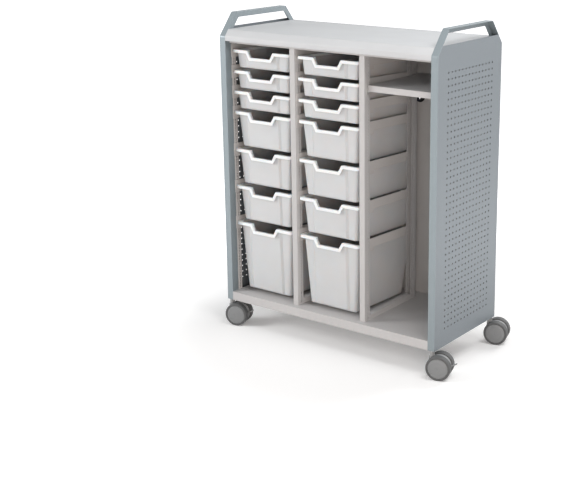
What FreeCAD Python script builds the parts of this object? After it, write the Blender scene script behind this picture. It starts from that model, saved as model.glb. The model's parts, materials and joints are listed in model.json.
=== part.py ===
import FreeCAD, Part
import math
import os
import Sketcher

Vector = FreeCAD.Vector

# Driving dimensions in millimetres, grouped by the piece that they size
SIZES = (
    # Whole cabinet, with the doorless front towards -Y
    ("cabinet_width", 1072),
    ("cabinet_depth", 482),
    # Origin: on the floor, at the middle of the whole with its turned casters
    ("origin_across", 35.4),
    ("origin_along", 9),
    # End frames: a strap bent into a closed hoop whose top is the handle
    ("frame_bottom", 111),
    ("shoulder_height", 1271),
    ("handle_height", 1366),
    ("handle_inset", 78),
    ("strap_width", 30),
    ("strap_gauge", 2.5),
    ("post_flange", 38),
    ("handle_flange", 22),
    ("foot_flange", 38),
    ("handle_bend", 14),
    # Perforated skins
    ("skin_gauge", 1.5),
    ("skin_top", 1306),
    ("hole_diameter", 6),
    ("hole_pitch", 25.4),
    ("hole_columns", 14),
    ("hole_rows", 41),
    ("hole_bottom", 186),
    # Base pan
    ("pan_top", 149),
    ("pan_gauge", 2),
    ("pan_return", 20),
    # Top panel with sloped nosings
    ("top_underside", 1253),
    ("top_shoulder", 1273),
    ("top_height", 1300),
    ("top_run", 22),
    ("top_gauge", 2),
    ("top_return", 58),
    ("top_bend", 8),
    # Rails under the top
    ("rail_height", 11),
    ("rail_depth", 30),
    ("rail_gauge", 1.5),
    # Dividers and slotted uprights
    ("divider_spacing", 346),
    ("post_width", 25),
    ("post_depth", 36),
    ("post_gauge", 1.5),
    ("front_setback", 27),
    ("rear_setback", 77),
    ("foot_height", 22),
    ("slot_line", 24),
    ("slot_width", 5),
    ("slot_height", 8),
    ("slot_pitch", 12.5),
    ("slot_count", 86),
    ("slots_below_rim", 23),
    # Tote runners
    ("runner_gauge", 1.5),
    ("runner_above", 20),
    ("runner_below", 19),
    ("runner_ledge", 15),
    ("runner_back", 166),
    ("runner_front", 4),
    ("runner_tab_width", 91),
    ("runner_tab_drop", 15),
    ("hook_width", 3.5),
    ("hook_height", 6),
    ("hook_reach", 4),
    ("hook_drop", 16.5),
    ("tilt_slots", 1),
    ("slide_gap", 0.1),
    ("stop_gap", 0.3),
    # Totes
    ("tote_setback", 31),
    ("lowest_rim", 465),
    ("deep_totes", 3),
    ("deep_slots", 13),
    ("shallow_totes", 3),
    ("shallow_slots", 7),
    ("tote_width", 312),
    ("tote_depth", 427),
    ("rim_gauge", 2.5),
    ("rim_corner", 20),
    ("side_lip", 6),
    ("front_lip", 12),
    ("flange_width", 14),
    ("tote_wall", 2.5),
    ("body_corner", 16),
    ("floor_round", 6),
    ("notch_top", 136),
    ("notch_bottom", 104),
    ("notch_depth", 28),
    ("panel_width", 170),
    ("panel_bevel", 9.5),
    ("panel_raise", 7),
    ("panel_foot", 9),
    ("shallow_height", 75),
    ("shallow_taper", 7),
    ("deep_height", 150),
    ("deep_taper", 14),
    ("extra_height", 298),
    ("extra_taper", 23),
    # Adjustable shelf and its clips
    ("shelf_slot", 75),
    ("shelf_lip", 24),
    ("shelf_gauge", 1.5),
    ("shelf_setback", 48),
    ("shelf_depth", 388),
    ("shelf_gap", 1),
    ("clip_gauge", 1.5),
    ("clip_width", 20),
    ("clip_ledge", 14),
    ("clip_height", 24),
    ("clip_rise", 2.5),
    # Back panel and its cable grommet
    ("back_setback", 10),
    ("back_gauge", 1.2),
    ("grommet_across", 157.5),
    ("grommet_height", 1019),
    ("grommet_flange", 52),
    ("grommet_barrel", 45),
    ("grommet_bore", 38),
    ("grommet_clearance", 0.3),
    ("wedge_width", 19),
    ("wedge_top", 13),
    ("wedge_foot", 18),
    ("grommet_lip", 3),
    ("grommet_depth", 8),
    # Frame bolts
    ("bolt_diameter", 6),
    ("bolt_clearance", 0.2),
    ("bolt_length", 12),
    ("bolt_head", 12),
    ("bolt_head_height", 4),
    ("bolt_inset", 19),
    ("top_bolt_rise", 11),
    # Casters
    ("wheel_diameter", 100),
    ("wheel_width", 29),
    ("wheel_dome", 4),
    ("wheel_rim", 41),
    ("wheel_edge", 2.5),
    ("wheel_groove", 1.5),
    ("wheel_hub", 13),
    ("wheel_recess", 4),
    ("wheel_bore_depth", 20),
    ("side_clearance", 0.5),
    ("caster_trail", 32),
    ("caster_turn", 16.3),
    ("stem_inset_side", 15),
    ("stem_inset_end", 12),
    ("stem_diameter", 11),
    ("stem_hole_clearance", 0.3),
    ("stem_fit", 0.05),
    ("stem_engagement", 26),
    ("collar_diameter", 20),
    ("collar_height", 2),
    ("nut_diameter", 18),
    ("nut_height", 9),
    ("stem_end", 6),
    ("neck_diameter", 21),
    ("neck_base", 90),
    ("hood_width", 20),
    ("hood_radius", 45),
    ("axle_diameter", 8),
    ("axle_fit", 0.05),
    ("axle_end_gap", 1),
    # Brake levers of the front casters
    ("brake_pivot_out", 36),
    ("brake_hub", 10),
    ("brake_pin", 4),
    ("brake_width", 11),
    ("brake_gap", 0.3),
    ("brake_room_up", 14),
    ("brake_room_down", 6),
    ("brake_reach", 33),
    ("brake_rise", 17),
    ("brake_thickness", 4),
)

# Tolerances for sorting edges and for sizes that count as nothing
ZERO = 1e-9
TINY = 1e-5
NEAR = 0.6
HALF_TURN = 180
UPWARD = Vector(0, 0, 1)

doc = FreeCAD.newDocument("ToteCabinet")
sheet = doc.addObject("Spreadsheet::Sheet", "Sizes")
for row, (alias, number) in enumerate(SIZES, start=1):
    sheet.set(f"A{row}", alias)
    sheet.set(f"B{row}", str(number))
    sheet.setAlias(f"B{row}", alias)
doc.recompute()


class Size:
    """A length with its present value and the sheet expression that drives it."""

    def __init__(self, value, text):
        self.value = value
        self.text = text

    def join(self, other, sign, value):
        return Size(value, f"({self.text} {sign} {other.text})")

    def __add__(self, other):
        other = as_size(other)
        return self.join(other, "+", self.value + other.value)

    def __sub__(self, other):
        other = as_size(other)
        return self.join(other, "-", self.value - other.value)

    def __mul__(self, other):
        other = as_size(other)
        return self.join(other, "*", self.value * other.value)

    def __truediv__(self, other):
        other = as_size(other)
        return self.join(other, "/", self.value / other.value)

    def __neg__(self):
        return self * -1


def as_size(number):
    if isinstance(number, Size):
        return number
    return Size(float(number), repr(float(number)))


def hypotenuse(run, rise):
    value = math.hypot(run.value, rise.value)
    return Size(value, f"sqrt({run.text} ^ 2 + {rise.text} ^ 2)")


def turned(along, angle):
    """Where a distance along a turned direction ends, in X and Y."""
    bearing = math.radians(angle.value)
    cosine = Size(along.value * math.cos(bearing), f"({along.text} * cos({angle.text} * 1deg))")
    sine = Size(along.value * math.sin(bearing), f"({along.text} * sin({angle.text} * 1deg))")
    return cosine, sine


S = {alias: Size(float(number), f"Sizes.{alias}") for alias, number in SIZES}
NONE = as_size(0)

# Positions that several pieces share
half_width = S["cabinet_width"] / 2
half_depth = S["cabinet_depth"] / 2
inner_x = half_width - S["strap_width"]
skin_x = half_width - S["skin_gauge"]
divider_x = S["divider_spacing"] / 2
post_half = S["post_width"] / 2
front_post_y = S["front_setback"] - half_depth
rear_post_y = half_depth - S["rear_setback"]
front_slot_y = front_post_y + S["slot_line"]
rear_slot_y = rear_post_y - S["slot_line"]
rail_bottom = S["top_underside"] - S["rail_height"]
tote_front = S["tote_setback"] - half_depth
tilt = S["tilt_slots"] * S["slot_pitch"] / (rear_slot_y - front_slot_y)
shallow_pitch = S["shallow_slots"] * S["slot_pitch"]
deep_pitch = S["deep_slots"] * S["slot_pitch"]
middle_rim = S["lowest_rim"] + deep_pitch * S["deep_totes"]
slot_first = S["lowest_rim"] - S["hook_drop"] - S["slot_pitch"] * S["slots_below_rim"]
clip_slot_z = slot_first + S["slot_pitch"] * S["shelf_slot"]
shelf_seat = clip_slot_z + S["clip_rise"]
shelf_bay_half = (inner_x - divider_x - post_half) / 2
shelf_bay_x = (inner_x + divider_x + post_half) / 2
bolt_y = half_depth - S["bolt_inset"]
pan_bolt_z = (S["frame_bottom"] + S["pan_top"]) / 2
top_bolt_z = S["top_underside"] + S["top_bolt_rise"]
stem_x = half_width - S["stem_inset_side"]
stem_y = half_depth - S["stem_inset_end"]
wheel_radius = S["wheel_diameter"] / 2

nodes = []


def new_body(label, several=False):
    body = doc.addObject("PartDesign::Body", label)
    body.Label = label
    body.AllowCompound = several
    nodes.append(body)
    put(body)
    return body


def copy_body(label, master):
    """A further piece of the same shape as another one."""
    body = new_body(label, master.AllowCompound)
    body.BaseFeature = master
    return body


def bind(feature, name, size):
    feature.setExpression(name, size.text)


def put(body, across=NONE, along=NONE, up=NONE):
    """Hold a piece at its place, measured from the middle of the carcass."""
    bind(body, "Placement.Base.x", across - S["origin_across"])
    bind(body, "Placement.Base.y", along - S["origin_along"])
    bind(body, "Placement.Base.z", up)


def turn(body, angle, axis=UPWARD):
    """Turn a piece about its own origin by an angle in degrees."""
    body.Placement.Rotation = FreeCAD.Rotation(axis, angle.value)
    body.setExpression("Placement.Rotation.Angle", f"{angle.text} * 1deg")


def plane(body, role):
    for feature in body.Origin.OriginFeatures:
        if feature.Role == role:
            return feature
    raise RuntimeError(f"{body.Label} has no {role}")


def new_sketch(body, role, offset=NONE):
    sketch = body.newObject("Sketcher::SketchObject", "Profile")
    sketch.AttachmentSupport = [(plane(body, role), "")]
    sketch.MapMode = "FlatFace"
    if abs(offset.value) > ZERO:
        bind(sketch, "AttachmentOffset.Base.z", offset)
    return sketch


def place(sketch, geometry, vertex, corner):
    """Hold one point of a sketch at a pair of sizes."""
    for kind, coordinate, axis in (("DistanceX", corner[0], -2), ("DistanceY", corner[1], -1)):
        if abs(coordinate.value) < ZERO:
            sketch.addConstraint(Sketcher.Constraint("PointOnObject", geometry, vertex, axis))
            continue
        rule = Sketcher.Constraint(kind, -1, 1, geometry, vertex, coordinate.value)
        bind(sketch, f"Constraints[{sketch.addConstraint(rule)}]", coordinate)


def set_radius(sketch, geometry, radius):
    rule = Sketcher.Constraint("Radius", geometry, radius.value)
    bind(sketch, f"Constraints[{sketch.addConstraint(rule)}]", radius)


def outline(sketch, corners, bulges=None):
    """Close a loop through the corners. A bulge gives an edge the radius of an anticlockwise arc."""
    bulges = bulges or {}
    corners = [(as_size(across), as_size(up)) for across, up in corners]
    count = len(corners)
    first = sketch.GeometryCount
    points = [Vector(across.value, up.value, 0) for across, up in corners]
    for index, start in enumerate(points):
        end = points[(index + 1) % count]
        if index not in bulges:
            sketch.addGeometry(Part.LineSegment(start, end))
            continue
        radius = bulges[index].value
        chord = end - start
        inward = Vector(-chord.y, chord.x, 0).normalize()
        centre = (start + end) / 2 + inward * math.sqrt(radius ** 2 - chord.Length ** 2 / 4)
        ring = Part.Circle(centre, UPWARD, radius)
        begin = math.atan2(start.y - centre.y, start.x - centre.x)
        finish = math.atan2(end.y - centre.y, end.x - centre.x)
        sketch.addGeometry(Part.ArcOfCircle(ring, begin, finish))
    for index in range(count):
        following = first + (index + 1) % count
        sketch.addConstraint(Sketcher.Constraint("Coincident", first + index, 2, following, 1))
        place(sketch, first + index, 1, corners[index])
        if index in bulges:
            set_radius(sketch, first + index, bulges[index])


def rounded_outline(sketch, left, right, low, high, radius):
    """A rectangle with equal round corners."""
    first = sketch.GeometryCount
    centres = (
        (left + radius, low + radius, 180),
        (right - radius, low + radius, 270),
        (right - radius, high - radius, 0),
        (left + radius, high - radius, 90),
    )
    for across, up, start in centres:
        ring = Part.Circle(Vector(across.value, up.value, 0), UPWARD, radius.value)
        begin = math.radians(start)
        sketch.addGeometry(Part.ArcOfCircle(ring, begin, begin + math.pi / 2))
    for index in range(4):
        start = sketch.Geometry[first + index].EndPoint
        end = sketch.Geometry[first + (index + 1) % 4].StartPoint
        sketch.addGeometry(Part.LineSegment(start, end))
    for index, (across, up, start) in enumerate(centres):
        arc = first + index
        line = first + 4 + index
        place(sketch, arc, 3, (across, up))
        set_radius(sketch, arc, radius)
        sketch.addConstraint(Sketcher.Constraint("Tangent", arc, 2, line, 1))
        sketch.addConstraint(Sketcher.Constraint("Tangent", line, 2, first + (index + 1) % 4, 1))


def circle(sketch, centre, diameter):
    radius = diameter / 2
    centre = (as_size(centre[0]), as_size(centre[1]))
    middle = Vector(centre[0].value, centre[1].value, 0)
    geometry = sketch.addGeometry(Part.Circle(middle, UPWARD, radius.value))
    place(sketch, geometry, 3, centre)
    set_radius(sketch, geometry, radius)


def pad(body, sketch, length, midplane=False, reverse=False):
    feature = body.newObject("PartDesign::Pad", "Pad")
    feature.Profile = sketch
    bind(feature, "Length", length)
    feature.Midplane = midplane
    feature.Reversed = reverse
    return feature


def pocket(body, sketch, length=None, midplane=False, reverse=False):
    """Cut a profile to a depth, or right through both ways when no length is given."""
    doc.recompute()
    before = body.Shape.Volume
    feature = body.newObject("PartDesign::Pocket", "Pocket")
    feature.Profile = sketch
    feature.Midplane = midplane
    feature.Reversed = reverse
    if length is None:
        feature.Type = "ThroughAll"
        feature.Midplane = True
    else:
        bind(feature, "Length", length)
    doc.recompute()
    if body.Shape.Volume > before - ZERO:
        raise RuntimeError(f"A cut in {body.Label} removes nothing")
    return feature


def revolve(body, sketch, axis):
    feature = body.newObject("PartDesign::Revolution", "Revolution")
    feature.Profile = sketch
    feature.ReferenceAxis = (sketch, [axis])
    feature.Angle = 360
    return feature


def loft(body, kind, sections):
    feature = body.newObject(f"PartDesign::{kind}Loft", "Loft")
    feature.Profile = sections[0]
    feature.Sections = list(sections[1:])
    return feature


def linear(body, original, direction, length, occurrences):
    """One row of copies, ready for a pattern or for a grid of rows."""
    row_pattern = body.newObject("PartDesign::LinearPattern", "Row")
    if original is not None:
        row_pattern.Originals = original
    row_pattern.Direction = direction
    bind(row_pattern, "Length", length)
    bind(row_pattern, "Occurrences", as_size(occurrences))
    body.Tip = row_pattern
    return row_pattern


def grid(body, original, steps):
    """Copies of some features by several transformations after each other."""
    feature = body.newObject("PartDesign::MultiTransform", "Grid")
    feature.Originals = original
    feature.Transformations = steps
    body.Tip = feature
    return feature


def step_row(body, direction, length, occurrences):
    row_pattern = doc.addObject("PartDesign::LinearPattern", "Row")
    body.addObject(row_pattern)
    row_pattern.Direction = direction
    bind(row_pattern, "Length", length)
    bind(row_pattern, "Occurrences", as_size(occurrences))
    return row_pattern


def step_mirror(body, role):
    mirror = doc.addObject("PartDesign::Mirrored", "Mirror")
    body.addObject(mirror)
    mirror.MirrorPlane = (plane(body, role), [""])
    return mirror


def round_edges(body, radius, wanted):
    """Round every edge of the body that the test picks."""
    doc.recompute()
    base = body.Tip
    names = [f"Edge{index}" for index, edge in enumerate(base.Shape.Edges, start=1) if wanted(edge)]
    if not names:
        raise RuntimeError(f"No edge to round in {body.Label}")
    feature = body.newObject("PartDesign::Fillet", "Round")
    feature.Base = (base, names)
    bind(feature, "Radius", radius)
    return feature


def along_x(edge, places):
    """True for an edge parallel to X that passes near one of the given places in YZ."""
    box = edge.BoundBox
    if box.YLength > TINY or box.ZLength > TINY:
        return False
    return any(math.hypot(box.YMin - y.value, box.ZMin - z.value) < NEAR for y, z in places)


def bent_inside(run, rise, gauge):
    """How far a sheet's inner bends lie from its outer ones: down at the shoulder, in at the crown."""
    slant = hypotenuse(run, rise)
    return gauge * (slant - rise) / run, gauge * (slant - run) / rise


def mirrored_loop(half):
    """A loop that is the same on both sides, from the corners on one side."""
    return half + [(-y, z) for y, z in reversed(half)]


def folded_loop(outer, inner):
    """A folded sheet, the same on both sides, from its outer and inner bends on one side."""
    return mirrored_loop(outer) + [(-y, z) for y, z in reversed(inner)] + inner


def make_end_frame(label):
    """The right-hand frame: a strap hoop with an inner flange, whose top is a handle."""
    body = new_body(label)
    gauge = S["strap_gauge"]
    run = S["handle_inset"]
    rise = S["handle_height"] - S["shoulder_height"]
    down, inward = bent_inside(run, rise, gauge)
    handle_half = half_depth - run
    outer = [
        (half_depth, S["frame_bottom"]),
        (half_depth, S["shoulder_height"]),
        (handle_half, S["handle_height"]),
    ]
    inner = [
        (half_depth - gauge, S["frame_bottom"] + gauge),
        (half_depth - gauge, S["shoulder_height"] - down),
        (handle_half - inward, S["handle_height"] - gauge),
    ]
    hoop = new_sketch(body, "YZ_Plane", inner_x)
    outline(hoop, mirrored_loop(outer))
    outline(hoop, mirrored_loop(inner))
    pad(body, hoop, S["strap_width"])
    crown = bent_inside(run, rise, S["handle_flange"])[1]
    lift = (S["post_flange"] * rise - S["handle_flange"] * hypotenuse(run, rise)) / run
    window = [
        (half_depth - S["post_flange"], S["frame_bottom"] + S["foot_flange"]),
        (half_depth - S["post_flange"], S["shoulder_height"] + lift),
        (handle_half - crown, S["handle_height"] - S["handle_flange"]),
    ]
    flange = new_sketch(body, "YZ_Plane", inner_x)
    outline(flange, mirrored_loop(outer))
    outline(flange, mirrored_loop(window))
    pad(body, flange, gauge)
    bends = [(y * sign, z) for y, z in outer[1:] for sign in (1, -1)]
    round_edges(body, S["handle_bend"], lambda edge: along_x(edge, bends))
    inside = [(y * sign, z) for y, z in inner[1:] + window[1:] for sign in (1, -1)]
    round_edges(body, S["handle_bend"] - gauge, lambda edge: along_x(edge, inside))
    stems = new_sketch(body, "XY_Plane", S["frame_bottom"])
    for sign in (1, -1):
        hole = S["stem_diameter"] + S["stem_hole_clearance"] * 2
        circle(stems, (stem_x, stem_y * sign), hole)
    pocket(body, stems, S["strap_gauge"] * 2, midplane=True)
    bolts = new_sketch(body, "YZ_Plane", inner_x)
    for height in (pan_bolt_z, top_bolt_z):
        for sign in (1, -1):
            circle(bolts, (bolt_y * sign, height), S["bolt_diameter"] + S["bolt_clearance"] * 2)
    pocket(body, bolts, gauge * 4, midplane=True)
    return body


def make_skin(label):
    """The right-hand perforated panel, flush inside its hoop."""
    body = new_body(label)
    gauge = S["strap_gauge"]
    run = S["handle_inset"]
    rise = S["handle_height"] - S["shoulder_height"]
    down = bent_inside(run, rise, gauge)[0]
    slope = hypotenuse(run, rise) * gauge / rise
    clip = (S["skin_top"] - S["shoulder_height"]) * run / rise + slope
    half = [
        (half_depth - gauge, S["frame_bottom"] + gauge),
        (half_depth - gauge, S["shoulder_height"] - down),
        (half_depth - clip, S["skin_top"]),
    ]
    sheet_outline = new_sketch(body, "YZ_Plane", skin_x)
    outline(sheet_outline, mirrored_loop(half))
    pad(body, sheet_outline, S["skin_gauge"])
    bends = [(half[1][0] * sign, half[1][1]) for sign in (1, -1)]
    round_edges(body, S["handle_bend"] - gauge, lambda edge: along_x(edge, bends))
    hole = new_sketch(body, "YZ_Plane", skin_x)
    columns = S["hole_pitch"] * (S["hole_columns"] - 1)
    rows = S["hole_pitch"] * (S["hole_rows"] - 1)
    circle(hole, (-columns / 2, S["hole_bottom"]), S["hole_diameter"])
    first = pocket(body, hole, S["skin_gauge"] * 4, midplane=True)
    across = step_row(body, (hole, ["H_Axis"]), columns, S["hole_columns"])
    up = step_row(body, (hole, ["V_Axis"]), rows, S["hole_rows"])
    grid(body, [first], [across, up])
    return body


def make_base_pan():
    body = new_body("base_pan")
    gauge = S["pan_gauge"]
    fold = half_depth - S["pan_return"]
    outer = [
        (fold, S["frame_bottom"]),
        (half_depth, S["frame_bottom"]),
        (half_depth, S["pan_top"]),
    ]
    inner = [
        (half_depth - gauge, S["pan_top"] - gauge),
        (half_depth - gauge, S["frame_bottom"] + gauge),
        (fold, S["frame_bottom"] + gauge),
    ]
    profile = new_sketch(body, "YZ_Plane", -inner_x)
    outline(profile, folded_loop(outer, inner))
    pad(body, profile, inner_x * 2)
    make_end_plates(body, mirrored_loop([
        (half_depth - gauge / 2, S["frame_bottom"] + gauge / 2),
        (half_depth - gauge / 2, S["pan_top"] - gauge / 2),
    ]), gauge, pan_bolt_z)


def make_end_plates(body, loop, gauge, bolt_z):
    """Close both ends of a folded sheet with a plate that has two bolt holes."""
    for start in (-inner_x, inner_x - gauge):
        plate = new_sketch(body, "YZ_Plane", start)
        outline(plate, loop)
        for sign in (1, -1):
            circle(plate, (bolt_y * sign, bolt_z), S["bolt_diameter"] + S["bolt_clearance"] * 2)
        pad(body, plate, gauge)


def make_top_panel():
    body = new_body("top_panel")
    gauge = S["top_gauge"]
    run = S["top_run"]
    rise = S["top_height"] - S["top_shoulder"]
    down, inward = bent_inside(run, rise, gauge)
    fold = half_depth - S["top_return"]
    outer = [
        (fold, S["top_underside"]),
        (half_depth, S["top_underside"]),
        (half_depth, S["top_shoulder"]),
        (half_depth - run, S["top_height"]),
    ]
    inner = [
        (half_depth - run - inward, S["top_height"] - gauge),
        (half_depth - gauge, S["top_shoulder"] - down),
        (half_depth - gauge, S["top_underside"] + gauge),
        (fold, S["top_underside"] + gauge),
    ]
    profile = new_sketch(body, "YZ_Plane", -inner_x)
    outline(profile, folded_loop(outer, inner))
    pad(body, profile, inner_x * 2)
    for bends, radius in ((outer[2:], S["top_bend"]), (inner[:2], S["top_bend"] - gauge)):
        places = [(y * sign, z) for y, z in bends for sign in (1, -1)]
        round_edges(body, radius, lambda edge: along_x(edge, places))
    make_end_plates(body, mirrored_loop([
        (half_depth - gauge / 2, S["top_underside"] + gauge / 2),
        (half_depth - gauge / 2, S["top_shoulder"] - S["top_bend"] / 2),
        (half_depth - run - S["top_bend"] / 2, S["top_height"] - gauge / 2),
    ]), gauge, top_bolt_z)


def make_top_rail(label, face, inward):
    """A channel, open at the top, that ties the tops of the posts together."""
    body = new_body(label)
    gauge = S["rail_gauge"]
    depth = S["rail_depth"] * inward
    wall = gauge * inward
    profile = new_sketch(body, "YZ_Plane", -inner_x)
    outline(profile, [
        (face, rail_bottom),
        (face + depth, rail_bottom),
        (face + depth, S["top_underside"]),
        (face + depth - wall, S["top_underside"]),
        (face + depth - wall, rail_bottom + gauge),
        (face + wall, rail_bottom + gauge),
        (face + wall, S["top_underside"]),
        (face, S["top_underside"]),
    ])
    pad(body, profile, inner_x * 2)


def cut_slots(body, line):
    """A ladder of slots along a vertical line."""
    slot = new_sketch(body, "YZ_Plane")
    reach = S["slot_width"] / 2
    rise = S["slot_height"] / 2
    outline(slot, [
        (line - reach, slot_first - rise),
        (line + reach, slot_first - rise),
        (line + reach, slot_first + rise),
        (line - reach, slot_first + rise),
    ])
    first = pocket(body, slot)
    ladder = S["slot_pitch"] * (S["slot_count"] - 1)
    linear(body, [first], (slot, ["V_Axis"]), ladder, S["slot_count"])


def make_divider_post(label):
    """A channel slotted on both cheeks, with its web along X."""
    body = new_body(label)
    gauge = S["post_gauge"]
    depth = S["post_depth"]
    inside = post_half - gauge
    section = new_sketch(body, "XY_Plane", S["pan_top"])
    outline(section, [
        (-post_half, NONE),
        (post_half, NONE),
        (post_half, depth),
        (inside, depth),
        (inside, gauge),
        (-inside, gauge),
        (-inside, depth),
        (-post_half, depth),
    ])
    pad(body, section, rail_bottom - S["pan_top"])
    cut_slots(body, S["slot_line"])
    return body


def make_foot_rail(label):
    """An upturned channel on the base pan between the two posts of a divider."""
    body = new_body(label)
    gauge = S["post_gauge"]
    inside = post_half - gauge
    front = front_post_y + S["post_depth"]
    back = rear_post_y - S["post_depth"]
    section = new_sketch(body, "XZ_Plane", -front)
    outline(section, [
        (-post_half, S["pan_top"]),
        (-inside, S["pan_top"]),
        (-inside, S["pan_top"] + S["foot_height"] - gauge),
        (inside, S["pan_top"] + S["foot_height"] - gauge),
        (inside, S["pan_top"]),
        (post_half, S["pan_top"]),
        (post_half, S["pan_top"] + S["foot_height"]),
        (-post_half, S["pan_top"] + S["foot_height"]),
    ])
    pad(body, section, back - front, reverse=True)
    return body


def make_upright(label):
    """A channel that opens towards the skin, with its slotted web along Y."""
    body = new_body(label)
    gauge = S["post_gauge"]
    reach = skin_x - inner_x
    foot = S["frame_bottom"] + S["foot_flange"]
    section = new_sketch(body, "XY_Plane", foot)
    outline(section, [
        (NONE, -post_half),
        (reach, -post_half),
        (reach, gauge - post_half),
        (gauge, gauge - post_half),
        (gauge, post_half - gauge),
        (reach, post_half - gauge),
        (reach, post_half),
        (NONE, post_half),
    ])
    pad(body, section, S["top_underside"] - foot)
    cut_slots(body, NONE)
    return body


def make_runners(label, inward):
    """The runners that hook into the slots of one side of a bay, all leaning back alike."""
    body = new_body(label, several=True)
    gauge = S["runner_gauge"]
    front = tote_front + S["runner_front"]
    tab = front + S["runner_tab_width"]
    back = S["runner_back"]
    ledge = tote_front + S["rim_corner"] + S["stop_gap"]

    def height(along, above):
        return middle_rim - tilt * (along - tote_front) + above

    below = -S["runner_below"]
    deep = below - S["runner_tab_drop"]
    seat = -S["side_lip"] - S["slide_gap"]
    start = NONE if inward > 0 else -gauge
    web = new_sketch(body, "YZ_Plane", start)
    outline(web, [
        (front, height(front, deep)),
        (tab, height(tab, deep)),
        (tab, height(tab, below)),
        (back, height(back, below)),
        (back, height(back, S["runner_above"])),
        (front, height(front, S["runner_above"])),
    ])
    features = [pad(body, web, gauge)]
    start = NONE if inward > 0 else -S["runner_ledge"]
    shelf = new_sketch(body, "YZ_Plane", start)
    outline(shelf, [
        (ledge, height(ledge, seat - gauge)),
        (back, height(back, seat - gauge)),
        (back, height(back, seat)),
        (ledge, height(ledge, seat)),
    ])
    features.append(pad(body, shelf, S["runner_ledge"]))
    start = -S["hook_reach"] if inward > 0 else NONE
    hooks = new_sketch(body, "YZ_Plane", start)
    reach = S["hook_width"] / 2
    rise = S["hook_height"] / 2
    fall = S["tilt_slots"] * S["slot_pitch"]
    for line, centre in (
        (front_slot_y, middle_rim - S["hook_drop"]),
        (rear_slot_y, middle_rim - S["hook_drop"] - fall),
    ):
        outline(hooks, [
            (line - reach, centre - rise),
            (line + reach, centre - rise),
            (line + reach, centre + rise),
            (line - reach, centre + rise),
        ])
    features.append(pad(body, hooks, S["hook_reach"]))
    for pitch, others, reverse in (
        (shallow_pitch, S["shallow_totes"], False),
        (deep_pitch, S["deep_totes"], True),
    ):
        row = linear(body, features, (web, ["V_Axis"]), pitch * others, others + 1)
        row.Reversed = reverse
    return body


def tote_section(body, depth, inset, corner):
    """A level section of the tote's tapered body, drawn in from its rim."""
    half = S["tote_width"] / 2 - inset
    section = new_sketch(body, "XY_Plane", -depth)
    rounded_outline(section, -half, half, inset, S["tote_depth"] - inset, corner)
    return section


def panel_section(body, depth, inset, trim):
    """A level section of the raised front panel, whose sides are bevelled."""
    front = inset - S["panel_raise"]
    back = inset + S["tote_wall"] * 2
    narrow = (S["panel_width"] - S["panel_bevel"]) / 2 - trim
    broad = (S["panel_width"] + S["panel_bevel"]) / 2 - trim
    section = new_sketch(body, "XY_Plane", -depth)
    outline(section, [
        (-narrow, front),
        (narrow, front),
        (broad, inset),
        (broad, back),
        (-broad, back),
        (-broad, inset),
    ])
    return section


def notch_band(sketch, thickness):
    """The strip of that thickness under the finger notch, from rim to rim."""
    top = S["notch_top"] / 2
    bottom = S["notch_bottom"] / 2
    depth = S["notch_depth"]
    slant = hypotenuse(top - bottom, depth)
    wide = thickness * slant / depth
    foot = thickness * (slant - top + bottom) / depth
    outline(sketch, mirrored_loop([
        (bottom + foot, -depth - thickness),
        (top + wide, NONE),
        (top, NONE),
        (bottom, -depth),
    ]))


def make_tote(label, deepness, taper):
    """A moulded tote with its front rim at the origin."""
    body = new_body(label)
    wall = S["tote_wall"]
    flange = S["flange_width"]
    foot = flange + taper
    corner = S["body_corner"]
    loft(body, "Additive", [
        tote_section(body, NONE, flange, corner),
        tote_section(body, deepness, foot, corner),
    ])
    floor_z = -deepness.value
    round_edges(body, S["floor_round"], lambda edge: edge.BoundBox.ZMax < floor_z + TINY)
    panel_depth = deepness - S["panel_foot"]
    panel_inset = flange + taper * panel_depth / deepness
    loft(body, "Additive", [
        panel_section(body, NONE, flange, NONE),
        panel_section(body, panel_depth, panel_inset, NONE),
    ])
    inner_depth = deepness - wall
    inner_inset = flange + wall + taper * inner_depth / deepness
    loft(body, "Subtractive", [
        tote_section(body, NONE, flange + wall, corner - wall),
        tote_section(body, inner_depth, inner_inset, corner - wall),
    ])
    recess_depth = panel_depth - wall
    recess_inset = flange + wall + taper * recess_depth / deepness
    loft(body, "Subtractive", [
        panel_section(body, NONE, flange + wall, wall / 2),
        panel_section(body, recess_depth, recess_inset, wall / 2),
    ])
    half = S["tote_width"] / 2
    rim_ring = new_sketch(body, "XY_Plane")
    rounded_outline(rim_ring, -half, half, NONE, S["tote_depth"], S["rim_corner"])
    inset = flange + wall
    hole = half - inset
    rounded_outline(rim_ring, -hole, hole, inset, S["tote_depth"] - inset, corner - wall)
    pad(body, rim_ring, S["rim_gauge"], reverse=True)
    for depth, ends in ((S["side_lip"], None), (S["front_lip"], S["rim_corner"])):
        lip = new_sketch(body, "XY_Plane")
        gauge = S["rim_gauge"]
        if ends is None:
            rounded_outline(lip, -half, half, NONE, S["tote_depth"], S["rim_corner"])
            hole = half - gauge
            round_in = S["rim_corner"] - gauge
            rounded_outline(lip, -hole, hole, gauge, S["tote_depth"] - gauge, round_in)
        else:
            front_lip_outline(lip, half, ends, gauge)
        pad(body, lip, depth, reverse=True)
    notch = new_sketch(body, "XZ_Plane")
    slope = (S["notch_top"] - S["notch_bottom"]) / 2 / S["notch_depth"]
    above = S["rim_gauge"]
    outline(notch, mirrored_loop([
        (S["notch_bottom"] / 2, -S["notch_depth"]),
        (S["notch_top"] / 2 + slope * above, above),
    ]))
    pocket(body, notch, flange + wall * 2)
    for thickness, reach in ((S["rim_gauge"], flange), (S["front_lip"], S["rim_gauge"])):
        band = new_sketch(body, "XZ_Plane")
        notch_band(band, thickness)
        pad(body, band, reach, reverse=True)
    return body


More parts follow.
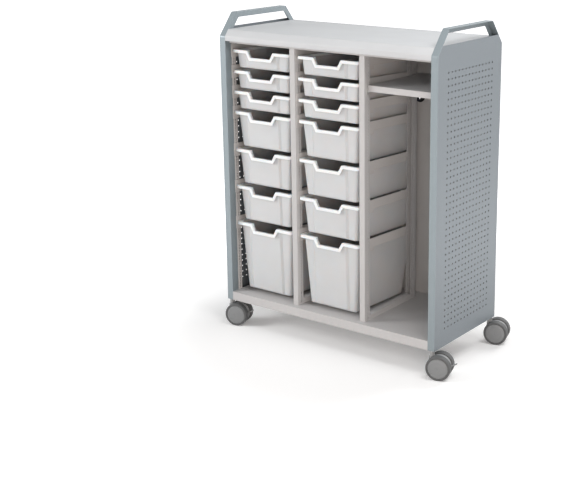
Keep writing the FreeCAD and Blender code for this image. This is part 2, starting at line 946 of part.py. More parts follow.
def front_lip_outline(sketch, half, radius, gauge):
    """The front of the rim's lip, bent back round both front corners."""
    first = sketch.GeometryCount
    points = (
        (-half, radius),
        (-half + gauge, radius),
        (-half + radius, gauge),
        (half - radius, gauge),
        (half - gauge, radius),
        (half, radius),
        (half - radius, NONE),
        (-half + radius, NONE),
    )
    places = [Vector(across.value, as_size(up).value, 0) for across, up in points]
    quarter = math.pi / 2
    left = Vector(places[2].x, places[0].y, 0)
    right = Vector(places[3].x, places[0].y, 0)
    tight = (radius - gauge).value
    edges = (
        Part.LineSegment(places[0], places[1]),
        Part.ArcOfCircle(Part.Circle(left, UPWARD, tight), quarter * 2, quarter * 3),
        Part.LineSegment(places[2], places[3]),
        Part.ArcOfCircle(Part.Circle(right, UPWARD, tight), quarter * 3, quarter * 4),
        Part.LineSegment(places[4], places[5]),
        Part.ArcOfCircle(Part.Circle(right, UPWARD, radius.value), quarter * 3, quarter * 4),
        Part.LineSegment(places[6], places[7]),
        Part.ArcOfCircle(Part.Circle(left, UPWARD, radius.value), quarter * 2, quarter * 3),
    )
    for edge in edges:
        sketch.addGeometry(edge)
    ends = ((1, 2), (1, 2), (1, 2), (1, 2), (1, 2), (2, 1), (1, 2), (2, 1))
    for index, (start, end) in enumerate(ends):
        following = (index + 1) % len(ends)
        rule = Sketcher.Constraint("Coincident", first + index, end, first + following, ends[following][0])
        sketch.addConstraint(rule)
        place(sketch, first + index, start, points[index])
    for index, size in ((1, radius - gauge), (3, radius - gauge), (5, radius), (7, radius)):
        set_radius(sketch, first + index, size)


def make_shelf():
    body = new_body("shelf")
    half = shelf_bay_half - S["clip_gauge"] - S["shelf_gap"]
    front = S["shelf_setback"] - half_depth
    back = front + S["shelf_depth"]
    gauge = S["shelf_gauge"]
    plate = new_sketch(body, "XY_Plane", shelf_seat)
    outline(plate, [(-half, front), (half, front), (half, back), (-half, back)])
    pad(body, plate, S["shelf_lip"])
    hollow = new_sketch(body, "XY_Plane", shelf_seat)
    inside = half - gauge
    outline(hollow, [
        (-inside, front + gauge),
        (inside, front + gauge),
        (inside, back - gauge),
        (-inside, back - gauge),
    ])
    pocket(body, hollow, S["shelf_lip"] - gauge, reverse=True)
    put(body, across=shelf_bay_x)


def make_shelf_clips():
    """Angle clips that hook into one slot each, one under each corner of the shelf."""
    body = new_body("shelf_clips", several=True)
    gauge = S["clip_gauge"]
    wide = S["clip_width"] / 2
    tall = S["clip_height"] / 2
    plate = new_sketch(body, "YZ_Plane", -shelf_bay_half)
    outline(plate, [
        (front_slot_y - wide, clip_slot_z - tall),
        (front_slot_y + wide, clip_slot_z - tall),
        (front_slot_y + wide, clip_slot_z + tall),
        (front_slot_y - wide, clip_slot_z + tall),
    ])
    features = [pad(body, plate, gauge)]
    ledge = new_sketch(body, "YZ_Plane", -shelf_bay_half)
    outline(ledge, [
        (front_slot_y - wide, shelf_seat - gauge),
        (front_slot_y + wide, shelf_seat - gauge),
        (front_slot_y + wide, shelf_seat),
        (front_slot_y - wide, shelf_seat),
    ])
    features.append(pad(body, ledge, S["clip_ledge"]))
    hook = new_sketch(body, "YZ_Plane", -shelf_bay_half - S["hook_reach"])
    reach = S["hook_width"] / 2
    rise = S["hook_height"] / 2
    outline(hook, [
        (front_slot_y - reach, clip_slot_z - rise),
        (front_slot_y + reach, clip_slot_z - rise),
        (front_slot_y + reach, clip_slot_z + rise),
        (front_slot_y - reach, clip_slot_z + rise),
    ])
    features.append(pad(body, hook, S["hook_reach"]))
    backward = step_row(body, (plate, ["H_Axis"]), rear_slot_y - front_slot_y, 2)
    across = step_mirror(body, "YZ_Plane")
    grid(body, features, [backward, across])
    put(body, across=shelf_bay_x)


def make_back_panel():
    body = new_body("back_panel")
    gauge = S["back_gauge"]
    face = half_depth - S["back_setback"]
    section = new_sketch(body, "XY_Plane", S["pan_top"])
    inside = inner_x - gauge
    outline(section, [
        (-inner_x, face),
        (inner_x, face),
        (inner_x, half_depth),
        (inside, half_depth),
        (inside, face + gauge),
        (-inside, face + gauge),
        (-inside, half_depth),
        (-inner_x, half_depth),
    ])
    pad(body, section, S["top_underside"] - S["pan_top"])
    hole = new_sketch(body, "XZ_Plane", -face)
    opening = S["grommet_barrel"] + S["grommet_clearance"] * 2
    circle(hole, (S["grommet_across"], S["grommet_height"]), opening)
    pocket(body, hole, gauge * 4, midplane=True)


def make_grommet():
    """A black plug with a wedge-shaped way through for cables."""
    body = new_body("cable_grommet")
    face = half_depth - S["back_setback"]
    lip = new_sketch(body, "XZ_Plane", S["grommet_lip"])
    circle(lip, (0, 0), S["grommet_flange"])
    pad(body, lip, S["grommet_lip"], reverse=True)
    barrel = new_sketch(body, "XZ_Plane")
    circle(barrel, (0, 0), S["grommet_barrel"])
    circle(barrel, (0, 0), S["grommet_bore"])
    pad(body, barrel, S["grommet_depth"], reverse=True)
    wedge = new_sketch(body, "XZ_Plane")
    half = S["wedge_width"] / 2
    outline(wedge, [(half, S["wedge_top"]), (-half, S["wedge_top"]), (NONE, -S["wedge_foot"])])
    pocket(body, wedge)
    put(body, S["grommet_across"], face, S["grommet_height"])


def make_frame_bolts():
    """Round-headed bolts through the ends of the pan and the top into the end frames."""
    body = new_body("frame_bolts", several=True)
    seat = inner_x - S["pan_gauge"]
    head = new_sketch(body, "YZ_Plane", seat - S["bolt_head_height"])
    circle(head, (bolt_y, pan_bolt_z), S["bolt_head"])
    shank = new_sketch(body, "YZ_Plane", seat)
    circle(shank, (bolt_y, pan_bolt_z), S["bolt_diameter"])
    features = [pad(body, head, S["bolt_head_height"]), pad(body, shank, S["bolt_length"])]
    up = step_row(body, (head, ["V_Axis"]), top_bolt_z - pan_bolt_z, 2)
    across = step_mirror(body, "YZ_Plane")
    backward = step_mirror(body, "XZ_Plane")
    grid(body, features, [up, across, backward])


def make_caster_stems():
    """Turned stems with a collar under the strap and a nut above it."""
    body = new_body("caster_stems", several=True)
    radius = S["stem_diameter"] / 2
    collar = S["collar_diameter"] / 2
    nut = S["nut_diameter"] / 2
    strap_top = S["frame_bottom"] + S["strap_gauge"]
    nut_top = strap_top + S["nut_height"]
    low = S["frame_bottom"] - S["collar_height"]
    section = new_sketch(body, "XZ_Plane", stem_y)
    loop = [
        (NONE, low - S["stem_engagement"]),
        (radius, low - S["stem_engagement"]),
        (radius, low),
        (collar, low),
        (collar, S["frame_bottom"]),
        (radius, S["frame_bottom"]),
        (radius, strap_top),
        (nut, strap_top),
        (nut, nut_top),
        (radius, nut_top),
        (radius, nut_top + S["stem_end"]),
        (NONE, nut_top + S["stem_end"]),
    ]
    outline(section, [(stem_x + out, up) for out, up in loop])
    axis = sketch_axis(section, (stem_x, low), (stem_x, nut_top))
    turned = revolve(body, section, axis)
    across = step_mirror(body, "YZ_Plane")
    backward = step_mirror(body, "XZ_Plane")
    grid(body, [turned], [across, backward])


def sketch_axis(sketch, start, end):
    """A construction line to turn a profile about."""
    first, second = (Vector(across.value, up.value, 0) for across, up in (start, end))
    geometry = sketch.addGeometry(Part.LineSegment(first, second), True)
    place(sketch, geometry, 1, start)
    place(sketch, geometry, 2, end)
    return "Axis0"


def seat_on_caster(body, corner, along, up, across=NONE, facing=0):
    """Set a piece under its corner of the cabinet, at a distance along its caster's trail."""
    side, end = corner
    trail_x, trail_y = turned(along, S["caster_turn"])
    aside_y, aside_x = turned(across, S["caster_turn"])
    put(body, stem_x * side + trail_x - aside_x, stem_y * end + trail_y + aside_y, up)
    turn(body, S["caster_turn"] + facing)


def make_hood(label, braked):
    """A disc between the wheels with a neck for the stem, drawn with the stem's axis at the origin."""
    body = new_body(label)
    trail = S["caster_trail"]
    neck = S["neck_diameter"] / 2
    neck_top = S["frame_bottom"] - S["collar_height"] - S["slide_gap"]
    disc = new_sketch(body, "XZ_Plane")
    circle(disc, (trail, wheel_radius), S["hood_radius"] * 2)
    pad(body, disc, S["hood_width"], midplane=True)
    gusset = new_sketch(body, "XZ_Plane")
    outline(gusset, [
        (-neck, wheel_radius),
        (trail, wheel_radius),
        (trail, wheel_radius + S["hood_radius"]),
        (neck, S["neck_base"]),
        (-neck, S["neck_base"]),
    ])
    pad(body, gusset, S["hood_width"], midplane=True)
    collar = new_sketch(body, "XY_Plane", S["neck_base"])
    circle(collar, (0, 0), S["neck_diameter"])
    pad(body, collar, neck_top - S["neck_base"])
    bore = new_sketch(body, "XY_Plane", neck_top)
    circle(bore, (0, 0), S["stem_diameter"] + S["stem_fit"] * 2)
    pocket(body, bore, S["stem_engagement"] + S["collar_height"])
    axle = new_sketch(body, "XZ_Plane")
    circle(axle, (trail, wheel_radius), S["axle_diameter"] + S["axle_fit"] * 2)
    pocket(body, axle)
    if braked:
        cut_brake_seat(body)
    return body


def cut_brake_seat(body):
    """A slot between two cheeks for the lever, and the holes for its pins."""
    pivot = S["caster_trail"] + S["brake_pivot_out"]
    back = pivot - S["brake_hub"] / 2 - S["brake_gap"]
    rim = S["caster_trail"] + S["hood_radius"] + S["brake_gap"]
    slot = new_sketch(body, "XZ_Plane")
    outline(slot, [
        (back, wheel_radius - S["brake_room_down"]),
        (rim, wheel_radius - S["brake_room_down"]),
        (rim, wheel_radius + S["brake_room_up"]),
        (back, wheel_radius + S["brake_room_up"]),
    ])
    pocket(body, slot, S["brake_width"] + S["brake_gap"] * 2, midplane=True)
    pins = new_sketch(body, "XZ_Plane")
    circle(pins, (pivot, wheel_radius), S["brake_pin"] + S["axle_fit"] * 2)
    pocket(body, pins)


def make_brake_lever(label):
    """A pedal whose hub turns on two pins in the hood's cheeks."""
    body = new_body(label)
    half = S["brake_thickness"] / 2
    hub = new_sketch(body, "XZ_Plane")
    circle(hub, (0, 0), S["brake_hub"])
    pad(body, hub, S["brake_width"], midplane=True)
    pins = new_sketch(body, "XZ_Plane")
    circle(pins, (0, 0), S["brake_pin"])
    pad(body, pins, S["hood_width"], midplane=True)
    pedal = new_sketch(body, "XZ_Plane")
    outline(pedal, [
        (0, -half),
        (S["brake_reach"], S["brake_rise"] - half),
        (S["brake_reach"], S["brake_rise"] + half),
        (0, half),
    ])
    pad(body, pedal, S["brake_width"], midplane=True)
    return body


def make_axle(label):
    body = new_body(label)
    shaft = new_sketch(body, "XZ_Plane")
    circle(shaft, (0, 0), S["axle_diameter"])
    reach = S["hood_width"] / 2 + S["side_clearance"] + S["wheel_bore_depth"] - S["axle_end_gap"]
    pad(body, shaft, reach * 2, midplane=True)
    return body


def make_wheel(label):
    """A wheel turned about its axle, with a rounded tread and a domed cap."""
    body = new_body(label)
    bore = S["axle_diameter"] / 2 + S["axle_fit"]
    radius = wheel_radius
    width = S["wheel_width"]
    edge = S["wheel_edge"]
    rim = S["wheel_rim"]
    groove = S["wheel_groove"]
    cap = rim - groove
    dome = (cap * cap + S["wheel_dome"] * S["wheel_dome"]) / (S["wheel_dome"] * 2)
    section = new_sketch(body, "XY_Plane")
    outline(section, [
        (bore, NONE),
        (S["wheel_hub"], NONE),
        (S["wheel_hub"], S["wheel_recess"]),
        (rim, S["wheel_recess"]),
        (rim, NONE),
        (radius - edge, NONE),
        (radius, edge),
        (radius, width - edge),
        (radius - edge, width),
        (rim + groove, width),
        (rim, width - groove),
        (cap, width),
        (NONE, width + S["wheel_dome"]),
        (NONE, S["wheel_bore_depth"]),
        (bore, S["wheel_bore_depth"]),
    ], {5: edge, 7: edge, 11: dome})
    revolve(body, section, "V_Axis")
    return body


SIDES = (("left", -1), ("right", 1))
ENDS = (("front", -1), ("rear", 1))

masters = {}


def piece(label, maker, *details):
    """Make the first piece of a kind in full and the later ones as copies of it."""
    kind = (maker, details)
    if kind in masters:
        return copy_body(label, masters[kind])
    masters[kind] = maker(label, *details)
    doc.recompute()
    return masters[kind]


right_frame = piece("right_end_frame", make_end_frame)
left_frame = piece("left_end_frame", make_end_frame)
turn(left_frame, as_size(HALF_TURN))
right_skin = piece("right_perforated_panel", make_skin)
left_skin = piece("left_perforated_panel", make_skin)
put(left_skin, across=-half_width - skin_x)

make_base_pan()
make_top_panel()
make_back_panel()
make_top_rail("front_top_rail", front_post_y, 1)
make_top_rail("rear_top_rail", rear_post_y, -1)

for side_name, side in SIDES:
    foot_rail = piece(f"{side_name}_divider_foot_rail", make_foot_rail)
    put(foot_rail, across=divider_x * side)
    for end_name, post_y, slot_y, facing in (
        ("front", front_post_y, front_slot_y, NONE),
        ("rear", rear_post_y, rear_slot_y, as_size(HALF_TURN)),
    ):
        post = piece(f"{side_name}_divider_{end_name}_post", make_divider_post)
        put(post, divider_x * side, post_y)
        turn(post, facing)
        upright = piece(f"{side_name}_end_{end_name}_upright", make_upright)
        put(upright, inner_x * side, slot_y)
        turn(upright, NONE if side > 0 else as_size(HALF_TURN))

for bay, wall, face, inward in (
    ("left", "left", -inner_x, 1),
    ("left", "right", -divider_x - post_half, -1),
    ("middle", "left", post_half - divider_x, 1),
    ("middle", "right", divider_x - post_half, -1),
):
    put(piece(f"{bay}_bay_{wall}_runners", make_runners, inward), across=face)

SHALLOW = (S["shallow_height"], S["shallow_taper"])
DEEP = (S["deep_height"], S["deep_taper"])
EXTRA = (S["extra_height"], S["extra_taper"])
COLUMN = (
    (middle_rim + shallow_pitch * 3, SHALLOW),
    (middle_rim + shallow_pitch * 2, SHALLOW),
    (middle_rim + shallow_pitch, SHALLOW),
    (middle_rim, DEEP),
    (middle_rim - deep_pitch, DEEP),
    (middle_rim - deep_pitch * 2, DEEP),
    (S["lowest_rim"], EXTRA),
)
lean = Size(math.degrees(math.atan(tilt.value)), f"(atan({tilt.text}) / 1deg)")
for bay, centre in (("left", -shelf_bay_x), ("middle", NONE)):
    for level, (rim, shape) in enumerate(COLUMN, start=1):
        tote = piece(f"{bay}_tote_{level}", make_tote, *shape)
        put(tote, centre, tote_front, rim)
        turn(tote, lean, Vector(-1, 0, 0))

make_shelf()
make_shelf_clips()
make_grommet()
make_frame_bolts()
make_caster_stems()

wheel_aside = S["hood_width"] / 2 + S["side_clearance"]
brake_pivot = S["caster_trail"] + S["brake_pivot_out"]
for end_name, end in ENDS:
    for side_name, side in SIDES:
        caster = f"{end_name}_{side_name}_caster"
        corner = (side, end)
        braked = end_name == "front"
        seat_on_caster(piece(f"{caster}_hood", make_hood, braked), corner, NONE, NONE)
        seat_on_caster(piece(f"{caster}_axle", make_axle), corner, S["caster_trail"], wheel_radius)
        for wheel_name, flank in (("inner", -end), ("outer", end)):
            wheel = piece(f"{caster}_{wheel_name}_wheel", make_wheel)
            facing = 0 if flank > 0 else HALF_TURN
            seat_on_caster(wheel, corner, S["caster_trail"], wheel_radius, wheel_aside * flank, facing)
        if braked:
            lever = piece(f"{caster}_brake_lever", make_brake_lever)
            seat_on_caster(lever, corner, brake_pivot, wheel_radius)

doc.recompute()
for item in doc.Objects:
    if "Invalid" in item.State or "Error" in item.State:
        raise RuntimeError(f"{item.Label} failed: {item.State}")
for node in nodes:
    if node.Shape.isNull() or not node.Shape.isValid():
        raise RuntimeError(f"{node.Label} has no valid shape")

os.makedirs("parts", exist_ok=True)
for node in nodes:
    node.Shape.exportStep(f"parts/{node.Label}.step")
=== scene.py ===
import json
import math

import bmesh
import bpy
from bpy.props import FloatProperty, FloatVectorProperty, IntProperty, PointerProperty
from bpy.types import Operator, Panel, PropertyGroup
from mathutils import Euler, Matrix, Vector


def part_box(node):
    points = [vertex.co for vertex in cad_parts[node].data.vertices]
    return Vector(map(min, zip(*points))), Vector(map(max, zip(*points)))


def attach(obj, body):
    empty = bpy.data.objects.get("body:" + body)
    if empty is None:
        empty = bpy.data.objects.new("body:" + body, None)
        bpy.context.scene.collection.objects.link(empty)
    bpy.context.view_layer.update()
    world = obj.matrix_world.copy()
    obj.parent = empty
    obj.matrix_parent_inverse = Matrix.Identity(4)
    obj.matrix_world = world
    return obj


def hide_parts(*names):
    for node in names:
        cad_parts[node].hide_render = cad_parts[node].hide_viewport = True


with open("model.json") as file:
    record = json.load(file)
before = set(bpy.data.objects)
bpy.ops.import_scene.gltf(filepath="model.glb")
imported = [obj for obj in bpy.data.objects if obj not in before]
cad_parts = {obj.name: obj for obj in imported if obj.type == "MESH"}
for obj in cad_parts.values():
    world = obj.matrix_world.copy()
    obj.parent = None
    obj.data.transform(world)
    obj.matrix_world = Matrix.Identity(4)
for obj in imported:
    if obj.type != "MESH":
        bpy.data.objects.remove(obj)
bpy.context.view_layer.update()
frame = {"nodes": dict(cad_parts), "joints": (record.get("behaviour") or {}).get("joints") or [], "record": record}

bl_info = {
    "name": "Tote storage cabinet",
    "version": (1, 0, 0),
    "blender": (4, 5, 0),
    "location": "View3D > Sidebar > Cabinet",
    "description": "Finishes, caster wheels and studio of a tote storage cabinet",
    "category": "Object",
}

SLOT_OF = {part["node"]: part["material_slot"] for part in frame["record"]["subparts"]}

# Noise of each grain: scale per metre and detail
MOTTLE = (6.0, 3.0)
CLOUD = (9.0, 3.0)
SCUFF = (90.0, 4.0)
DRAWN_LINES = (260.0, 3.0)
ORANGE_PEEL = (620.0, 2.0)
SPARK_GRAIN = (1500.0, 2.0)
TREAD_GRAIN = (1900.0, 2.0)
METAL_FLAKE = (2600.0, 1.0)
DRAWN_STRETCH = (1.0, 1.0, 9.0)

# The middle of a noise's range, which is spread over the whole of a finish
NOISE_LOW = 0.25
NOISE_HIGH = 0.75

# How far a grain darkens and lightens its finish
MOTTLE_TINT = (0.97, 1.03)
FLAKE_TINT = (0.93, 1.07)
CLOUD_TINT = (0.98, 1.02)
DRAWN_TINT = (0.92, 1.05)
SCUFF_TINT = (0.88, 1.14)

# Roughness of a finish, from its smoothest to its dullest spots
COAT_ROUGH = (0.50, 0.61)
SILVER_ROUGH = (0.36, 0.48)
TOTE_ROUGH = (0.28, 0.40)
GROMMET_ROUGH = (0.36, 0.48)
HOOD_ROUGH = (0.39, 0.51)
CAP_ROUGH = (0.32, 0.44)
ZINC_ROUGH = (0.26, 0.42)
TREAD_ROUGH = (0.52, 0.68)

# Relief of a finish: depth in metres and strength
COAT_RELIEF = (0.0003, 0.10)
SILVER_RELIEF = (0.0003, 0.08)
MOULD_RELIEF = (0.00015, 0.10)
TOTE_RELIEF = (0.00015, 0.06)
ZINC_RELIEF = (0.0001, 0.12)
TREAD_RELIEF = (0.0002, 0.15)
ROUND_SAMPLES = 6

# Gloss and metal of the paints, the zinc, the treads and the paper floor
COAT_GLOSS = 0.3
SILVER_METAL = 0.25
ZINC_METAL = 0.6
TREAD_GLOSS = 0.35
PAPER_GLOSS = 0.1
PAPER_ROUGH = 0.9

# Punched holes of the end panels: the rolled edge, how square to the panel a face may stand before it gets the
# painted shade, the near-black painted shade on the hole walls and rolled edges, and the field of the holes
HOLE_ROLL = 0.002
ROLL_SAMPLES = 8
HOLE_WALL_TURN = 0.995
PAINTED_HOLE_SHADE = (0.02, 0.022, 0.024)
HOLES_LOW = 0.18
HOLES_TOP = 1.21
HOLES_REACH = 0.2

# Rims of the totes, whitened as a painted highlight: depth of the whitened band, its reach from the front and the
# totes' slope to the rear
RIM_DEPTH = 0.0095
RIM_REACH = 0.0055
TOTE_SLOPE = 12.5 / 330

# Frosted plastic of the totes: share of the light that goes in, and how far each colour goes
TOTE_SCATTER = 0.7
TOTE_DEPTHS = (0.007, 0.0052, 0.0043)

# Small bevels, gaps and steps of a caster wheel, in metres
TREAD_LIP_RUN = 0.0012
TREAD_LIP_DROP = 0.0014
CAP_GAP = 0.0002
HUB_DRAFT = 0.0006
RECESS_RUN = 0.002
RECESS_BEVEL = 0.0008
CAP_SEAT_DROP = 0.0022
CAP_EDGE_DROP = 0.0016
CAP_EDGE_ROUND = 0.0012
CAP_EDGE_TURN = 75
DOME_INSET = 0.002
RING_RUN = 0.0006
DIMPLE_RUN = 0.0008
DIMPLE_EDGE = 0.0009
DIMPLE_DEPTH = 0.0014

# Points along the curves of a wheel's section, and the sharpest bend that is shaded smooth
SHOULDER_STEPS = 8
CAP_EDGE_STEPS = 4
DOME_STEPS = 4
RING_STEPS = 6
SMOOTH_BEND = math.radians(32)
ON_AXIS = 1e-7

# Lamps of the studio: place and target from under the middle of the top, side in metres, and colour
WHITE = (1.0, 1.0, 1.0)
WARM_WHITE = (1.0, 0.89, 0.82)
LAMPS = (
    ("key", (-3.05, -2.8, 2.2), (0.0, 0.0, 0.8), 1.6, WHITE),
    ("front", (2.9, -3.3, 1.1), (0.3, 0.0, 0.6), 1.8, WARM_WHITE),
    ("side", (1.7, -0.5, 2.9), (0.5, 0.0, 0.8), 1.4, WHITE),
    ("back", (1.0, 3.2, 2.6), (0.0, 0.0, 0.8), 2.4, WHITE),
)

# Floor and camera: cells of the floor's grid, sensor in millimetres, and how far the camera sees in metres
FLOOR_CELLS = 8
SENSOR_WIDTH = 36.0
VIEW_DEPTH = 200.0


def colour(name, description, default):
    """A colour that a user may change."""
    return FloatVectorProperty(
        name=name, description=description, subtype="COLOR", size=3, min=0, max=1, default=default)


def length(name, description, default):
    """A length that a user may change, in metres."""
    return FloatProperty(
        name=name, description=description, unit="LENGTH", precision=4, min=0, default=default)


def lamp_power(name, description, default):
    """The power of a studio lamp that a user may change."""
    return FloatProperty(name=name, description=description, unit="POWER", min=0, default=default)


class CabinetFinishes(PropertyGroup):
    """Colours of the cabinet's paints and plastics."""

    frame_silver: colour("End frames", "Powder coat of the hoops and handles", (0.258, 0.302, 0.325))
    panel_silver: colour("Perforated panels", "Powder coat of the end panels", (0.215, 0.243, 0.266))
    top_grey: colour("Top", "Powder coat of the top panel", (0.60, 0.613, 0.627))
    light_grey: colour("Carcass", "Powder coat of posts, rails, base and shelf", (0.55, 0.541, 0.54))
    inner_grey: colour("Inside", "Powder coat of back, uprights and runners", (0.60, 0.582, 0.57))
    tote_white: colour("Totes", "Moulded plastic of the totes' thin walls", (0.63, 0.634, 0.642))
    # Painted highlight: the whiter colour of the rims and front lips stands in for light that the rolled lip
    # catches.
    rim_highlight_white: colour("Tote rims", "Moulded plastic of the totes' thick rims", (0.95, 0.95, 0.95))
    caster_grey: colour("Caster hoods", "Moulded plastic of hoods and brake levers", (0.36, 0.37, 0.375))
    cap_grey: colour("Wheel caps", "Moulded plastic of the wheels' caps", (0.235, 0.242, 0.247))
    tread_grey: colour("Treads", "Soft plastic of the wheels' treads", (0.105, 0.108, 0.11))
    grommet_black: colour("Grommet", "Moulded plastic of the cable grommet", (0.012, 0.012, 0.012))
    plated_steel: colour("Hardware", "Zinc plate of bolts, stems, axles and clips", (0.62, 0.62, 0.61))


class CabinetSizes(PropertyGroup):
    """Sizes of rounded edges and of the pieces that are built here."""

    edge_round: length("Edge rounding", "Radius of folded and moulded edges", 0.0009)
    tote_round: length("Tote rounding", "Radius of the totes' moulded edges", 0.0022)
    tread_radius: length("Wheel radius", "Radius of the tread", 0.05)
    tread_inner: length("Tread seat", "Radius where the tread meets the cap", 0.0412)
    tread_round: length("Tread shoulder", "Radius of the tread's shoulders", 0.0035)
    wheel_width: length("Wheel width", "Width of the tread", 0.029)
    cap_radius: length("Cap radius", "Radius of the domed cap", 0.0396)
    cap_rise: length("Cap rise", "How far the cap's middle stands proud of the tread", 0.0038)
    cap_ring: length("Cap ring", "Radius of the step in the cap", 0.0305)
    cap_step: length("Cap step", "Depth of the step in the cap", 0.0007)
    boss_radius: length("Boss radius", "Radius of the dimple in the cap's middle", 0.0075)
    hub_radius: length("Hub radius", "Radius of the hub on the wheel's inner face", 0.013)
    inner_recess: length("Inner recess", "Depth of the recess in the wheel's inner face", 0.004)
    wheel_gap: length("Wheel gap", "From the hood's middle to a wheel's inner face", 0.0105)
    bore_radius: length("Bore radius", "Radius of the wheel's bore", 0.00405)
    bore_depth: length("Bore depth", "Depth of the wheel's bore", 0.02)
    wheel_steps: IntProperty(
        name="Wheel steps", description="Facets round a wheel", min=24, max=256, default=112)


class CabinetStudio(PropertyGroup):
    """Camera and light of the studio."""

    camera_place: FloatVectorProperty(
        name="Camera place", description="Where the camera stands, from under the middle of the top",
        subtype="TRANSLATION", unit="LENGTH", default=(2.7978, -3.9077, 1.8862))
    camera_turn: FloatVectorProperty(
        name="Camera turn", description="Azimuth, elevation and roll of the camera in degrees", size=3,
        default=(35.51, 14.69, -0.14))
    camera_lens: FloatProperty(
        name="Lens", description="Focal length of the camera", unit="CAMERA", default=73.33)
    camera_shift: FloatVectorProperty(
        name="Shift", description="How far the picture lies off the camera's axis", size=2,
        default=(-0.1225, -0.0917))
    floor_white: colour("Floor", "Colour of the studio floor", (0.96, 0.96, 0.96))
    floor_bounce: colour("Floor bounce", "Colour that the floor throws back at the cabinet", (0.8, 0.8, 0.8))
    floor_glow: FloatProperty(
        name="Floor glow", description="Light that whitens the floor near the cabinet", min=0, default=0.14)
    glow_start: length("Glow start", "How far from the cabinet the floor begins to turn white", 0.65)
    glow_end: length("Glow end", "How far from the cabinet the floor is white", 1.7)
    floor_size: length("Floor size", "Side of the studio floor", 80.0)
    sky_level: FloatProperty(name="Sky", description="Strength of the light all round", min=0, default=0.27)
    key_level: lamp_power("Key lamp", "Lamp in front, far to the left", 100.0)
    front_level: lamp_power("Front lamp", "Low lamp in front, on the right", 62.0)
    side_level: lamp_power("Side lamp", "High lamp on the right", 33.0)
    back_level: lamp_power("Back lamp", "Lamp behind, high on the right", 80.0)


def nodes_in(*slots):
    """The CAD objects whose material slot is one of these."""
    return [item for node, item in frame["nodes"].items() if SLOT_OF[node] in slots]


def dress(item, finish):
    """Give an object one finish all over."""
    if not item.material_slots:
        item.data.materials.append(finish)
    for material_slot in item.material_slots:
        material_slot.material = finish


def opaque(paint):
    """A colour with full alpha."""
    return (*paint, 1.0)


class Recipe:
    """A node material that grows by one node at a time round a Principled shader."""

    def __init__(self, name):
        self.finish = bpy.data.materials.new(name)
        self.finish.use_nodes = True
        self.tree = self.finish.node_tree
        self.shader = self.tree.nodes["Principled BSDF"]
        coordinates = self.node("ShaderNodeTexCoord")
        self.place = coordinates.outputs["Object"]
        self.share = coordinates.outputs["Generated"]

    def node(self, kind, settings=(), **inputs):
        """A new node, with an underscore for each space in the names of its inputs."""
        made = self.tree.nodes.new(kind)
        for name, value in dict(settings).items():
            setattr(made, name, value)
        for name, value in inputs.items():
            self.feed(made.inputs[name.replace("_", " ")], value)
        return made

    def feed(self, socket, value):
        """Link a socket to another node's output, or set its value."""
        if isinstance(value, bpy.types.NodeSocket):
            self.tree.links.new(value, socket)
        else:
            socket.default_value = value

    def shade(self, **inputs):
        """Feed the shader, with an underscore for each space in the names of its inputs."""
        for name, value in inputs.items():
            self.feed(self.shader.inputs[name.replace("_", " ")], value)

    def reckon(self, operation, *values):
        """One step of arithmetic."""
        step = self.node("ShaderNodeMath", {"operation": operation})
        for socket, value in zip(step.inputs, values):
            self.feed(socket, value)
        return step.outputs["Value"]

    def split(self, vector):
        """The X, Y and Z outputs of a vector."""
        return self.node("ShaderNodeSeparateXYZ", Vector=vector).outputs

    def noise(self, grain, stretch=None):
        """Noise of a grain over the object, stretched along its axes."""
        place = self.place
        if stretch is not None:
            place = self.node("ShaderNodeMapping", Vector=place, Scale=stretch).outputs["Vector"]
        scale, detail = grain
        return self.node("ShaderNodeTexNoise", Vector=place, Scale=scale, Detail=detail).outputs["Fac"]

    def between(self, noise, limits):
        """Noise spread between two limits."""
        low, high = limits
        spread = self.node(
            "ShaderNodeMapRange", Value=noise,
            From_Min=NOISE_LOW, From_Max=NOISE_HIGH, To_Min=low, To_Max=high)
        return spread.outputs["Result"]

    def tint(self, noise, base, factors):
        """The base colour, made darker and lighter by noise between two factors."""
        scaled = self.node("ShaderNodeVectorMath", {"operation": "SCALE"})
        scaled.inputs[0].default_value = base
        self.feed(scaled.inputs["Scale"], self.between(noise, factors))
        return scaled.outputs["Vector"]

    def mix(self, mask, first, second):
        """The first colour where a mask is 0, and the second where it is 1."""
        return self.node("ShaderNodeMixRGB", Fac=mask, Color1=first, Color2=second).outputs["Color"]

    def painted_hole_shade_mask(self):
        """1 on the walls and rolled edges of the holes in an end of the cabinet, where painted shade darkens the
        holes.
        """
        rolled = self.node("ShaderNodeBevel", {"samples": ROLL_SAMPLES}, Radius=HOLE_ROLL)
        facing = self.reckon("ABSOLUTE", self.split(rolled.outputs["Normal"])["X"])
        spot = self.split(self.place)
        walls = self.reckon("LESS_THAN", facing, HOLE_WALL_TURN)
        for inside in (
            self.reckon("LESS_THAN", self.reckon("ABSOLUTE", spot["Y"]), HOLES_REACH),
            self.reckon("GREATER_THAN", spot["Z"], HOLES_LOW),
            self.reckon("LESS_THAN", spot["Z"], HOLES_TOP),
        ):
            walls = self.reckon("MULTIPLY", walls, inside)
        return walls

    def rim_highlight_mask(self, extent):
        """1 on the rim and the front lip of a tote of one extent, where a painted highlight whitens it."""
        part = self.split(self.share)
        rear_drop = self.reckon("MULTIPLY", part["Y"], extent.y * TOTE_SLOPE)
        level = self.reckon("MULTIPLY_ADD", part["Z"], extent.z, rear_drop)
        high = self.reckon("GREATER_THAN", level, extent.z - RIM_DEPTH)
        fore = self.reckon("LESS_THAN", part["Y"], RIM_REACH / extent.y)
        return self.reckon("MAXIMUM", high, fore)

    def relief(self, height, shape, radius=0.0):
        """Bump of a depth and strength, over edges that are rounded by a radius."""
        depth, strength = shape
        bump = self.node("ShaderNodeBump", Height=height, Distance=depth, Strength=strength)
        if radius:
            rounded = self.node("ShaderNodeBevel", {"samples": ROUND_SAMPLES}, Radius=radius)
            self.feed(bump.inputs["Normal"], rounded.outputs["Normal"])
        return bump.outputs["Normal"]


